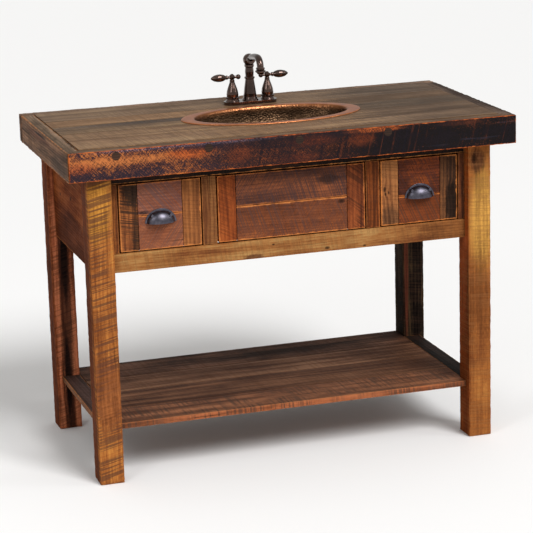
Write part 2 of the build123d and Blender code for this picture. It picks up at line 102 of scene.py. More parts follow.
class Finish:
    """One material and the nodes that make it."""

    def __init__(self, name):
        self.material = bpy.data.materials.new(name)
        self.material.use_nodes = True
        self.tree = self.material.node_tree
        self.tree.nodes.clear()

    def node(self, kind, settings, sockets, output=0):
        """Add a node: its settings first, then its sockets' values or links."""
        made = self.tree.nodes.new(kind)
        for name, value in settings.items():
            if name == "stops":
                elements = made.color_ramp.elements
                elements[0].position = value[0][0]
                elements[-1].position = value[-1][0]
                for position, colour in value[1:-1]:
                    elements.new(position)
                for element, (position, colour) in zip(elements, value):
                    element.color = (*colour, 1.0)
            else:
                setattr(made, name, value)
        for name, value in sockets.items():
            if isinstance(value, Field):
                self.tree.links.new(value.socket, made.inputs[name])
            else:
                made.inputs[name].default_value = value
        return Field(self, made.outputs[output])

    def place(self):
        """The three coordinates of a point of the piece, in metres."""
        point = self.node("ShaderNodeTexCoord", {}, {}, "Object")
        return [self.node("ShaderNodeSeparateXYZ", {}, {0: point}, axis) for axis in (X, Y, Z)]

    def vector(self, x, y, z):
        """A vector of three values or numbers."""
        return self.node("ShaderNodeCombineXYZ", {}, {"X": x, "Y": y, "Z": z})

    def noise(self, vector, detail=2.0, rough=0.5):
        """Cloudy noise, about 0.5 on average, one lump per unit of the vector."""
        sockets = {"Vector": vector, "Scale": 1.0, "Detail": detail, "Roughness": rough}
        return self.node("ShaderNodeTexNoise", {}, sockets, "Fac")

    def lumps(self, point, scale, detail=2.0, rough=0.5):
        """Cloudy noise with the same scale every way."""
        return self.noise(self.vector(*[part * scale for part in point]), detail, rough)

    def wave(self, value):
        """Goes evenly between -1 and 1."""
        return self.node("ShaderNodeMath", {"operation": "SINE"}, {0: value})

    def dents(self, vector, softness):
        """The distance to the middle of the nearest hammer dent."""
        sockets = {"Vector": vector, "Scale": 1.0, "Smoothness": softness}
        return self.node("ShaderNodeTexVoronoi", {"feature": "SMOOTH_F1"}, sockets, "Distance")

    def step(self, value, start, end, low=0.0, high=1.0):
        """Goes smoothly from low to high as the value goes from start to end."""
        return self.node(
            "ShaderNodeMapRange",
            {"interpolation_type": "SMOOTHSTEP"},
            {0: value, 1: start, 2: end, 3: low, 4: high},
        )

    def least(self, first, second):
        """The smaller of two values."""
        return self.node("ShaderNodeMath", {"operation": "MINIMUM"}, {0: first, 1: second})

    def most(self, first, second):
        """The larger of two values."""
        return self.node("ShaderNodeMath", {"operation": "MAXIMUM"}, {0: first, 1: second})

    def reach(self, parts):
        """The length of a vector given by its three parts."""
        return (parts[X] * parts[X] + parts[Y] * parts[Y] + parts[Z] * parts[Z]) ** 0.5

    def mix(self, share, first, second):
        """Share 0 keeps the first colour, share 1 the second."""
        first, second = [(*paint(*c), 1.0) if isinstance(c, tuple) else c for c in (first, second)]
        return self.node("ShaderNodeMix", {"data_type": "RGBA"}, {0: share, 6: first, 7: second}, 2)

    def ramp(self, value, stops):
        """Colours at stops along a value."""
        stops = [(position, paint(*colour)) for position, colour in stops]
        return self.node("ShaderNodeValToRGB", {"stops": stops}, {0: value}, "Color")

    def seal(self, colour, rough, height=None, depth=0.001, **constants):
        """Close the material: constants are values of the shader's own sockets."""
        sockets = {"Base Color": colour, "Roughness": rough}
        for name, value in constants.items():
            sockets[name.replace("_", " ")] = value
        if height is not None:
            sockets["Normal"] = self.node(
                "ShaderNodeBump", {}, {"Strength": 1.0, "Distance": depth, "Height": height}, "Normal"
            )
        shader = self.node("ShaderNodeBsdfPrincipled", {}, sockets, "BSDF")
        output = self.tree.nodes.new("ShaderNodeOutputMaterial")
        self.tree.links.new(shader.socket, output.inputs["Surface"])
        return self.material


def paint(red, green, blue):
    """A colour out of 255, as the shader's linear light."""
    shares = (red / 255, green / 255, blue / 255)
    return tuple(s / 12.92 if s <= 0.04045 else ((s + 0.055) / 1.055) ** 2.4 for s in shares)


def dulled(tone):
    """The same stain where it lies in the dark grain."""
    return tuple(part * 0.62 for part in tone)


# ------------------------------------------------------------------ barn wood
knot_stretch = 1.7  # a knot's length along the grain, as a share of its width


def barn_wood(
    name, low, high, grain, tones, seed, streaks=1.5, clouding=1.0, bands=0.25, speckle=0.15, fibres=0.7,
    saw=0.4, pitch=0.008, slant=0.15, saw_tone=(52, 34, 26), cross_saw=0.0, checks=0.6, worn=0.003,
    worn_tone=(196, 124, 66), wear=0.8, stains=(), knots=(), rough=0.60, relief=0.0011, gloss=0.06,
    flush=(),
):
    """Reclaimed board between two corners, its grain along one axis.

    stains are (place, reach along each axis, colour, strength), knots are (place, radius), and flush
    names the sides that lie against a neighbour and have no rubbed arris.
    """
    wood = Finish(name)
    point = wood.place()
    along = point[grain]
    across, through = [point[axis] for axis in (X, Y, Z) if axis != grain]

    # knots push the grain aside
    knot_dark = None
    for spot, radius in knots:
        radii = [radius * (knot_stretch if axis == grain else 1.0) for axis in (X, Y, Z)]
        reach = wood.reach([(point[axis] - spot[axis]) / radii[axis] for axis in (X, Y, Z)])
        swirl = wood.step(reach, 3.2, 0.0)
        across = across + swirl * radius * 0.8
        rings = wood.wave(reach * 14.0)
        core = wood.step(reach + rings * 0.12, 1.15, 0.35)
        knot_dark = core if knot_dark is None else wood.most(knot_dark, core)

    wander = wood.noise(wood.vector(along * 1.6 + seed, across * 5.0, through * 5.0)) - 0.5
    flow_across = across + wander * 0.030
    flow_through = through + wander * 0.022
    streak = wood.noise(
        wood.vector(along * 1.4 + seed, flow_across * 34.0, flow_through * 34.0), detail=7.0, rough=0.66
    )
    cloud = wood.noise(wood.vector(along * 5.0 - seed, across * 11.0, through * 11.0), detail=3.0, rough=0.55)
    fleck = wood.noise(
        wood.vector(along * 90.0, across * 190.0, through * 190.0 + seed), detail=3.0, rough=0.7
    )
    fibre = wood.noise(wood.vector(along * 16.0 + seed, across * 430.0, through * 430.0), rough=0.6)
    ring_wave = wood.wave((flow_across + flow_through * 1.3) * 620.0 + streak * 5.0)
    blade = along + (across + through) * slant
    teeth = wood.noise(
        wood.vector(blade / (pitch * 0.55), across * 5.0 + seed, through * 5.0), rough=0.55
    )
    where = wood.noise(wood.vector(along * 7.0, across * 16.0 + seed, through * 16.0))
    tone = (
        0.5
        + (streak - 0.5) * streaks * 1.6
        + (cloud - 0.5) * clouding * 1.3
        + ring_wave * bands * 0.3
        + (fleck - 0.5) * speckle * 3.6
        + (fibre - 0.5) * fibres
        + (teeth - 0.5) * saw * 1.1
    )
    colour = wood.ramp(tone, zip((0.08, 0.5, 0.92), tones))

    # stained and bleached places
    for spot, radii, stain_tone, strength in stains:
        reach = wood.reach([(point[axis] - spot[axis]) / radii[axis] for axis in (X, Y, Z)])
        edge = reach + (streak - 0.5) * 1.3 + (fleck - 0.5) * 0.5
        shade = wood.step(edge, 1.15, 0.55) * strength
        tint = wood.mix(wood.step(tone, 0.1, 0.95), dulled(stain_tone), stain_tone)
        colour = wood.mix(shade, colour, tint)

    # blade marks across the board
    marks = wood.step(teeth, 0.48, 0.56) * wood.step(where, 0.24, 0.52)
    if cross_saw:
        other_blade = along - (across + through) * slant * 2.2
        other_teeth = wood.noise(
            wood.vector(other_blade / (pitch * 0.5) + seed, across * 12.0, through * 12.0)
        )
        other_marks = wood.step(other_teeth, 0.49, 0.57) * wood.step(where, 0.70, 0.40)
        marks = wood.most(marks, other_marks * cross_saw)
    colour = wood.mix(marks * saw, colour, saw_tone)

    # drying checks along the grain
    split = wood.noise(wood.vector(along * 3.5 + seed, flow_across * 210.0, flow_through * 210.0))
    crack = wood.step(split, 0.66, 0.74) * wood.step(cloud, 0.45, 0.62)
    colour = wood.mix(crack * checks, colour, (20, 13, 10))

    if knot_dark is not None:
        colour = wood.mix(knot_dark * 0.85, colour, (34, 20, 13))

    # worn arrises: the middle one of the three distances to the faces
    reaches = []
    for axis in (X, Y, Z):
        open_sides = []
        if (axis, "low") not in flush:
            open_sides.append(point[axis] - low[axis])
        if (axis, "high") not in flush:
            open_sides.append(high[axis] - point[axis])
        reaches.append(wood.least(*open_sides) if len(open_sides) == 2 else (open_sides or [1.0])[0])
    pair_low = wood.least(reaches[0], reaches[1])
    pair_high = wood.most(reaches[0], reaches[1])
    arris_reach = wood.most(pair_low, wood.least(pair_high, reaches[2]))
    nibble = wood.lumps(point, 60.0, detail=3.0, rough=0.6)
    rub = wood.step(arris_reach + (0.5 - nibble) * worn * 2.2, worn * 1.25, worn * 0.25)
    colour = wood.mix(rub * wear, colour, worn_tone)

    height = streak * 0.5 + ring_wave * 0.05 + fleck * 0.35 - marks * 0.45 - crack * 1.2
    if knot_dark is not None:
        height = height - knot_dark * 0.5
    sheen = rough + (0.5 - tone) * 0.12 + marks * 0.08
    return wood.seal(colour, sheen, height, relief, Specular_IOR_Level=gloss)


# ------------------------------------------------------------------ bench work
def lay_down():
    """Nothing selected, object mode."""
    if bpy.context.object is not None and bpy.context.object.mode != "OBJECT":
        bpy.ops.object.mode_set(mode="OBJECT")
    bpy.ops.object.select_all(action="DESELECT")


def take(piece):
    """Only this piece selected and active."""
    lay_down()
    piece.select_set(True)
    bpy.context.view_layer.objects.active = piece


def open_up():
    """Edit mode, everything selected."""
    bpy.ops.object.mode_set(mode="EDIT")
    bpy.ops.mesh.select_all(action="SELECT")


def settle(piece):
    """Put the piece's place into its mesh."""
    take(piece)
    bpy.ops.object.transform_apply(location=True, rotation=True, scale=True)


def pick_edges(piece, test):
    """In edit mode, select the edges that pass a test, and nothing else."""
    bpy.ops.object.mode_set(mode="OBJECT")
    mesh = piece.data
    for group in (mesh.vertices, mesh.edges, mesh.polygons):
        group.foreach_set("select", [False] * len(group))
    mesh.edges.foreach_set("select", [test(edge) for edge in mesh.edges])
    bpy.context.tool_settings.mesh_select_mode = (False, True, False)
    bpy.ops.object.mode_set(mode="EDIT")


most_cuts = 90  # more cuts than this along one edge are made in two goes
first_cuts = 9


def slices(piece, axis, length, spacing):
    """Cut the piece across one axis at even spacing."""
    cuts = round(length / spacing) - 1
    rounds = [cuts]
    if cuts > most_cuts:
        rounds = [first_cuts, round((cuts - first_cuts) / (first_cuts + 1))]
    shortest = 0.45 * length
    for count in rounds:
        if count < 1:
            continue
        bpy.ops.object.mode_set(mode="OBJECT")
        points = piece.data.vertices

        def runs(edge):
            span = points[edge.vertices[1]].co - points[edge.vertices[0]].co
            return span.length > shortest and abs(span[axis]) > 0.93 * span.length

        pick_edges(piece, runs)
        bpy.ops.mesh.subdivide(number_cuts=count)
        shortest = shortest / (count + 1)
    bpy.ops.object.mode_set(mode="OBJECT")


hewn_grain = bpy.data.textures.new("hewn_grain", "CLOUDS")
hewn_grain.noise_scale = 0.045
hewn_grain.noise_depth = 2
chipped = bpy.data.textures.new("chipped", "CLOUDS")
chipped.noise_scale = 0.011
chipped.noise_depth = 3
chipped.contrast = 1.6


def press(piece, texture, depth, group=""):
    """Press the surface in by up to a depth, where a texture is light."""
    dent = piece.modifiers.new("dent", "DISPLACE")
    dent.texture = texture
    dent.texture_coords = "LOCAL"
    dent.mid_level = 0.0
    dent.strength = -depth
    dent.vertex_group = group
    bpy.ops.object.modifier_apply(modifier=dent.name)


def edge_reach(co, low, high):
    """How far a point is from the box's nearest edge: the middle one of its distances to the faces."""
    return sorted(min(co[axis] - low[axis], high[axis] - co[axis]) for axis in (X, Y, Z))[1]


def plank(
    name, low, high, grain, material, arris=0.002, ragged=0.0016, hewn=0.0007, mitres=(), spacing=0.009
):
    """A sawn board between two corners: mitred, arrises eased, faces hewn, edges chipped."""
    lay_down()
    size = high - low
    bpy.ops.mesh.primitive_cube_add(size=1, location=(low + high) / 2)
    piece = bpy.context.object
    piece.name = name
    piece.scale = size
    settle(piece)
    bpy.ops.object.mode_set(mode="EDIT")
    for corner, outward in mitres:
        bpy.ops.mesh.select_all(action="SELECT")
        bpy.ops.mesh.bisect(plane_co=corner, plane_no=outward, use_fill=True, clear_outer=True)
    bpy.ops.mesh.select_all(action="SELECT")
    bpy.ops.mesh.bevel(offset=arris, segments=2, profile=0.6, affect="EDGES")
    slices(piece, grain, size[grain], spacing)
    for axis in (X, Y, Z):
        if axis != grain:
            slices(piece, axis, size[axis], spacing)
    rim = piece.vertex_groups.new(name="arris")
    worn = [v.index for v in piece.data.vertices if edge_reach(v.co, low, high) < arris * 1.1]
    rim.add(worn, 1.0, "REPLACE")
    take(piece)
    press(piece, hewn_grain, hewn)
    press(piece, chipped, ragged, "arris")
    piece.vertex_groups.clear()
    bpy.ops.object.shade_smooth_by_angle(angle=math.radians(40))
    piece.data.materials.append(material)
    return piece


def joined(name, pieces):
    """Several blocks of one node as one piece."""
    take(pieces[0])
    for piece in pieces[1:]:
        piece.select_set(True)
    if len(pieces) > 1:
        bpy.ops.object.join()
    pieces[0].name = name
    return pieces[0]


def place(piece, node):
    """The piece stands for a node, on that node's body."""
    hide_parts(node)
    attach(piece, nodes[node]["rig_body"])


def two_blocks(node):
    """The boxes of a node's left and right blocks."""
    low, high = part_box(node)
    middle = (low.x + high.x) / 2
    xs = [v.co.x for v in nodes[node].data.vertices]
    left_end = max(x for x in xs if x < middle)
    right_end = min(x for x in xs if x > middle)
    return (low, Vector((left_end, high.y, high.z))), (Vector((right_end, low.y, low.z)), high)


def board(node, grain, slot, tones, seed, shape=None, **marks):
    """Replace a one-block node by a sawn board in its own barn wood."""
    low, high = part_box(node)
    material = barn_wood(node, low, high, grain, tones, seed, **marks)
    piece = plank(f"{node}_sawn", low, high, grain, material, **(shape or {}))
    place(piece, node)


def pair(node, grain, slot, left, right, shape=None, **marks):
    """Replace a two-block node; left and right each give tones, seed and their own marks."""
    pieces = []
    for side, block, (tones, seed, own) in zip(("left", "right"), two_blocks(node), (left, right)):
        material = barn_wood(f"{node}_{side}", *block, grain, tones, seed, **{**marks, **own})
        pieces.append(plank(f"{node}_{side}", *block, grain, material, **(shape or {})))
    place(joined(f"{node}_sawn", pieces), node)


def middle_of(low, high):
    """The middle of a box from left to right, and from front to back."""
    return (low.x + high.x) / 2, (low.y + high.y) / 2


# ------------------------------------------------------------------ legs
honey = ((109, 59, 30), (161, 98, 48), (203, 140, 66))
leg_shape = {"arris": 0.0026, "ragged": 0.0016, "hewn": 0.0007}

low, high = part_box("leg_front_left")
mid_x, mid_y = middle_of(low, high)
# painted shade: the stains over the whole left and right side faces paint them darker and redder than the
# front
painted_side_shade = ((low.x - 0.004, mid_y + 0.012, 0.42), (0.012, 0.058, 0.9), (118, 54, 24), 0.95)
board(
    "leg_front_left", Z, "post_wood", honey, 1.3, leg_shape,
    gloss=0.01,
    saw=0.8, pitch=0.0085, slant=-0.22, saw_tone=(84, 52, 40), bands=0.2, streaks=1.0, worn=0.0035,
    worn_tone=(150, 88, 44), wear=0.6,
    stains=[
        painted_side_shade,
        # painted shade on the right side face
        ((high.x + 0.004, mid_y, 0.42), (0.010, 0.055, 0.9), (110, 54, 26), 0.9),
        ((mid_x, low.y, 0.25), (0.07, 0.012, 0.11), (150, 86, 50), 0.8),
        ((mid_x - 0.01, low.y, 0.74), (0.05, 0.012, 0.09), (206, 142, 58), 0.7),
        ((mid_x, low.y, 0.83), (0.05, 0.014, 0.035), (110, 66, 34), 0.6),
    ],
)
low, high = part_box("leg_front_right")
mid_x, mid_y = middle_of(low, high)
board(
    "leg_front_right", Z, "post_wood", ((110, 62, 33), (150, 91, 45), (183, 125, 63)), 7.9, leg_shape,
    gloss=0.01,
    saw=0.35, pitch=0.006, slant=0.05, saw_tone=(118, 78, 48), bands=0.15, streaks=1.0, fibres=0.4,
    clouding=1.3, worn=0.003, worn_tone=(160, 98, 52), wear=0.6,
    stains=[
        # painted shade: the left side face stained darker and redder than the front
        ((low.x - 0.004, mid_y, 0.42), (0.012, 0.058, 0.9), (142, 64, 26), 0.95),
        ((low.x - 0.004, mid_y, 0.66), (0.012, 0.058, 0.20), (176, 84, 36), 0.8),
        ((mid_x + 0.008, low.y, 0.62), (0.04, 0.012, 0.17), (214, 158, 76), 0.85),
        ((mid_x, low.y, 0.40), (0.06, 0.012, 0.12), (150, 86, 44), 0.7),
        ((mid_x - 0.006, low.y, 0.775), (0.026, 0.012, 0.038), (96, 56, 38), 0.85),
    ],
    knots=[((low.x + 0.018, low.y, 0.782), 0.009)],
)
low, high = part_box("leg_back_left")
mid_x, mid_y = middle_of(low, high)
board(
    "leg_back_left", Z, "post_wood", ((93, 52, 34), (152, 83, 54), (193, 116, 80)), 4.4, leg_shape,
    gloss=0.01,
    saw=0.5, pitch=0.007, slant=-0.3, saw_tone=(44, 28, 22), bands=0.4, streaks=2.0, worn_tone=(150, 84, 48),
    wear=0.5,
    stains=[
        ((mid_x + 0.002, low.y, 0.42), (0.021, 0.013, 0.9), (40, 27, 24), 0.8),
        ((mid_x + 0.004, low.y, 0.50), (0.010, 0.008, 0.16), (18, 14, 15), 0.9),
        ((mid_x, low.y, 0.16), (0.010, 0.008, 0.14), (18, 14, 15), 0.9),
        # painted shade: the left side face stained darker and redder than the front
        ((low.x, mid_y, 0.42), (0.010, 0.060, 0.9), (106, 48, 20), 0.9),
    ],
)
low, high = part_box("leg_back_right")
# painted shade: the post's near-black tones stand for the shade at the back under the counter
board(
    "leg_back_right", Z, "post_wood", ((10, 6, 6), (27, 20, 16), (64, 49, 33)), 9.2, leg_shape,
    gloss=0.01,
    saw=0.3, bands=0.4, worn_tone=(62, 38, 24), wear=0.4,
    stains=[((low.x + 0.011, low.y, 0.36), (0.007, 0.008, 0.26), (96, 48, 34), 0.9)],
)

# ------------------------------------------------------------------ aprons and face frame
low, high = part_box("apron_left")
apron_tones = ((66, 28, 12), (108, 53, 23), (137, 74, 36))
board(
    "apron_left", Y, "apron_wood", apron_tones, 2.7, {"ragged": 0.001},
    saw=0.35, pitch=0.010, slant=0.9, saw_tone=(70, 36, 22), bands=0.35, clouding=1.5, wear=0.5, gloss=0.01,
    stains=[
        ((low.x, 0.08, high.z - 0.03), (0.010, 0.20, 0.055), (112, 76, 48), 0.75),
        ((low.x, 0.0, low.z + 0.05), (0.010, 0.24, 0.06), (86, 40, 20), 0.7),
    ],
    knots=[((low.x, 0.02, 0.712), 0.007), ((low.x, 0.15, 0.70), 0.006)],
)
board(
    "apron_right", Y, "apron_wood", apron_tones, 12.4, {"ragged": 0.001}, saw=0.35, pitch=0.010, slant=0.6,
    wear=0.5,
)
board(
    "apron_back", X, "apron_wood", apron_tones, 15.1, {"ragged": 0.001}, saw=0.4, pitch=0.010, slant=0.3,
    wear=0.5,
)

low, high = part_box("bottom_rail")
board(
    "bottom_rail", X, "frame_wood", ((105, 58, 30), (144, 94, 50), (169, 128, 77)), 3.6,
    {"ragged": 0.0006, "arris": 0.0015, "hewn": 0.0004},
    saw=0.18, pitch=0.012, bands=0.2, clouding=1.4, worn_tone=(150, 92, 46), wear=0.5, streaks=1.1,
    stains=[
        ((0.44, low.y, low.z + 0.03), (0.09, 0.01, 0.04), (142, 82, 40), 0.7),
        ((-0.11, low.y, low.z + 0.004), (0.03, 0.01, 0.012), (92, 54, 34), 0.8),
    ],
    knots=[
        ((0.095, low.y, low.z + 0.010), 0.005), ((-0.055, low.y, low.z + 0.034), 0.003),
        ((0.20, low.y, low.z + 0.006), 0.003),
    ],
)
# painted shade: the top rail's near-black tones stand for the shadow under the counter's overhang
board("top_rail", X, "frame_wood", ((14, 9, 7), (28, 18, 13), (52, 32, 22)), 5.5, {"ragged": 0.001}, saw=0.3)
stile_tones = ((70, 38, 22), (102, 59, 32), (132, 85, 47))
pair(
    "mid_stiles", Z, "frame_wood", (stile_tones, 6.1, {}),
    (((79, 39, 18), (127, 65, 28), (164, 92, 41)), 8.3, {}),
    {"ragged": 0.001}, saw=0.2, bands=0.5, streaks=1.9, clouding=1.2, wear=0.35,
)
pair(
    "end_stiles", Z, "frame_wood", (((56, 28, 17), (103, 56, 28), (160, 94, 45)), 2.2, {}),
    (((48, 26, 18), (92, 50, 28), (126, 70, 38)), 3.8, {}), {"ragged": 0.001}, saw=0.2, bands=0.4, wear=0.3,
)

# ------------------------------------------------------------------ fixed centre panel
front_shape = {"arris": 0.0018, "ragged": 0.0011, "hewn": 0.0005, "spacing": 0.008}
left_side = ((X, "low"),)
right_side = ((X, "high"),)
panel_saw = {"pitch": 0.0052, "slant": 0.32, "streaks": 0.9, "flush": left_side + right_side}
left_saw = {
    "saw": 0.7, "pitch": 0.0056, "cross_saw": 0.8, "streaks": 0.8, "worn": 0.004, "wear": 0.85,
    "flush": left_side + right_side,
}
right_saw = {
    "saw": 0.75, "pitch": 0.0054, "slant": 0.45, "cross_saw": 0.7, "streaks": 0.9,
    "flush": left_side + right_side,
}
pair(
    "panel_stiles", Z, "panel_wood",
    (((94, 43, 22), (134, 65, 29), (158, 83, 39)), 4.9, {"slant": 0.5, "flush": right_side}),
    (
        ((70, 34, 20), (112, 56, 30), (148, 78, 40)), 6.6,
        {"saw": 0.7, "pitch": 0.010, "slant": 0.75, "flush": left_side},
    ),
    front_shape, saw=0.3, bands=0.3, worn=0.004, worn_tone=(198, 118, 60), wear=0.75, saw_tone=(50, 28, 20),
)
low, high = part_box("panel_upper_board")
board(
    "panel_upper_board", X, "panel_wood", ((60, 36, 29), (104, 60, 41), (144, 82, 50)), 5.2, front_shape,
    saw=0.8, cross_saw=0.8, saw_tone=(62, 46, 46), worn=0.0035, worn_tone=(190, 112, 58), wear=0.7,
    **panel_saw,
    stains=[((0.10, low.y, low.z + 0.05), (0.035, 0.008, 0.018), (46, 32, 28), 0.8)],
)
low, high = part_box("panel_lower_board")
board(
    "panel_lower_board", X, "panel_wood", ((81, 44, 27), (120, 65, 38), (157, 89, 46)), 6.4, front_shape,
    saw=0.75, cross_saw=0.7, saw_tone=(76, 52, 46), worn=0.0042, worn_tone=(206, 126, 66), wear=0.85,
    **panel_saw,
    knots=[((0.137, low.y, high.z - 0.012), 0.007)],
)

# ------------------------------------------------------------------ drawer fronts
low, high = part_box("left_drawer_front_stiles")
pair(
    "left_drawer_front_stiles", Z, "front_wood",
    (
        ((74, 40, 24), (126, 72, 40), (172, 104, 54)), 7.3,
        {
            "saw": 0.9, "pitch": 0.0075, "slant": 0.2, "saw_tone": (52, 36, 28), "streaks": 1.9,
            "flush": right_side,
            "stains": [
                ((low.x + 0.034, low.y, high.z), (0.030, 0.010, 0.085), (52, 38, 28), 0.95),
                ((low.x + 0.044, low.y, low.z + 0.03), (0.012, 0.010, 0.09), (58, 38, 26), 0.8),
            ],
        },
    ),
    (((106, 62, 34), (138, 84, 46), (168, 106, 58)), 8.8, {"saw": 0.2, "bands": 0.5, "flush": left_side}),
    front_shape, worn=0.004, worn_tone=(204, 126, 66), wear=0.8,
)
low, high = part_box("left_drawer_upper_board")
board(
    "left_drawer_upper_board", X, "front_wood", ((101, 52, 38), (136, 81, 59), (169, 109, 84)), 9.9,
    front_shape,
    slant=0.8, saw_tone=(88, 66, 66), worn_tone=(200, 118, 62), **left_saw,
    stains=[((low.x + 0.014, low.y, low.z + 0.007), (0.02, 0.01, 0.006), (60, 34, 24), 0.9)],
)
board(
    "left_drawer_lower_board", X, "front_wood", ((114, 63, 43), (146, 86, 57), (174, 110, 70)), 10.6,
    front_shape,
    slant=-0.7, saw_tone=(100, 66, 56), worn_tone=(204, 122, 62), **left_saw,
)
low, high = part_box("right_drawer_front_stiles")
pair(
    "right_drawer_front_stiles", Z, "front_wood",
    (
        ((88, 52, 30), (130, 80, 46), (160, 104, 60)), 11.3,
        {
            "saw": 0.25, "bands": 0.5, "flush": right_side,
            "stains": [((low.x + 0.03, low.y, low.z + 0.01), (0.05, 0.01, 0.05), (104, 68, 44), 0.7)],
            "knots": [
                ((low.x + 0.011, low.y, 0.716), 0.005), ((low.x + 0.013, low.y, 0.703), 0.0035),
                ((low.x + 0.022, low.y, 0.706), 0.003),
            ],
        },
    ),
    (
        ((52, 34, 24), (92, 58, 36), (128, 80, 46)), 12.7,
        {
            "saw": 0.3, "pitch": 0.006, "bands": 0.4, "flush": left_side,
            "stains": [((high.x - 0.018, low.y, 0.665), (0.02, 0.01, 0.06), (40, 28, 20), 0.9)],
            "knots": [((high.x - 0.016, low.y, 0.694), 0.008)],
        },
    ),
    front_shape, worn=0.004, worn_tone=(204, 124, 62), wear=0.85,
)
low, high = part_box("right_drawer_upper_board")
board(
    "right_drawer_upper_board", X, "front_wood", ((49, 25, 16), (86, 42, 24), (140, 66, 30)), 13.8,
    front_shape,
    saw_tone=(56, 36, 34), worn=0.0035, worn_tone=(176, 96, 46), wear=0.7, **right_saw,
    stains=[((low.x + 0.062, low.y, low.z + 0.035), (0.035, 0.01, 0.02), (176, 88, 40), 0.8)],
)
board(
    "right_drawer_lower_board", X, "front_wood", ((91, 46, 24), (117, 57, 28), (138, 71, 35)), 14.5,
    front_shape,
    saw_tone=(76, 48, 36), worn=0.004, worn_tone=(196, 114, 56), wear=0.85, **right_saw,
)

# ------------------------------------------------------------------ shelf
shelf_shape = {"arris": 0.0012, "ragged": 0.0004, "hewn": 0.0002, "spacing": 0.011}  # no gap shows
shelf_looks = (
    (
        ((78, 48, 34), (112, 72, 50), (152, 98, 66)),
        {"saw": 0.75, "pitch": 0.0085, "slant": 0.05, "saw_tone": (66, 50, 42)},
    ),
    (((62, 40, 30), (92, 60, 42), (118, 80, 56)), {"saw": 0.25, "bands": 0.5}),
    (((66, 42, 30), (96, 64, 46), (126, 90, 66)), {"saw": 0.2, "bands": 0.5}),
    (((42, 26, 18), (78, 51, 37), (112, 76, 56)), {"saw": 0.3, "clouding": 1.6}),
)
for number, (tones, own) in enumerate(shelf_looks, 1):
    node = f"shelf_board_{number}"
    low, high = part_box(node)
    if number == 1:
        own["stains"] = [((0, low.y - 0.004, (low.z + high.z) / 2), (0.8, 0.008, 0.02), (176, 100, 62), 0.95)]
    board(
        node, X, "shelf_wood", tones, 20.0 + number * 1.7, shelf_shape,
        worn=0.002, worn_tone=(170, 104, 62) if number == 1 else (50, 32, 22), wear=0.6, streaks=2.0, **own,
    )
low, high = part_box("shelf_end_left")
board(
    "shelf_end_left", Y, "shelf_end_wood", ((28, 21, 19), (59, 43, 38), (85, 62, 56)), 31.2, saw=0.3,
    wear=0.5,
    stains=[((low.x - 0.004, 0, high.z - 0.008), (0.008, 0.4, 0.02), (150, 98, 62), 0.9)],
)
# painted shade: the right end board's near-black tones stand for the shade on its inner face
board(
    "shelf_end_right", Y, "shelf_end_wood", ((12, 9, 7), (25, 19, 16), (38, 27, 23)), 33.9, saw=0.3, wear=0.3,
)

# ------------------------------------------------------------------ counter
field_looks = (
    (((112, 83, 57), (132, 100, 71), (154, 120, 83)), {"saw": 0.45}),
    (((96, 69, 48), (124, 93, 64), (152, 118, 81)), {"saw": 0.45}),
    (((76, 58, 43), (112, 87, 62), (142, 110, 72)), {"saw": 0.455, "bands": 0.9}),
    (((108, 79, 52), (130, 96, 64), (150, 112, 72)), {"saw": 0.4}),
    (((88, 68, 50), (112, 87, 64), (134, 106, 76)), {"saw": 0.4}),
)
for number, (tones, own) in enumerate(field_looks, 1):
    node = f"counter_board_{number}"
    low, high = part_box(node)
    # painted shade: the right part of the top is painted darker than the left, where a sheen falls
    painted_shade_tone = tuple(part * 0.80 for part in tones[1])
    stains = [((0.56, (low.y + high.y) / 2, high.z), (0.42, 0.3, 0.05), painted_shade_tone, 0.8)]
    if number == 3:
        stains.append(((-0.2, high.y - 0.02, high.z), (0.5, 0.028, 0.05), (84, 68, 58), 0.85))
    if number == 5:
        # painted sheen: a lighter strip on the left part of the board
        stains.append(((-0.2, low.y + 0.012, high.z), (0.6, 0.022, 0.05), (132, 102, 74), 0.85))
    material = barn_wood(
        node, low, high, X, tones, 40.0 + number * 2.3, stains=stains, pitch=0.006, slant=0.1,
        saw_tone=(84, 66, 54),
        worn=0.0012, worn_tone=(64, 48, 38), wear=0.7, rough=0.42, relief=0.0007, streaks=1.6, checks=0.4,
        **own,
    )
    nodes[node].data.materials.clear()
    nodes[node].data.materials.append(material)


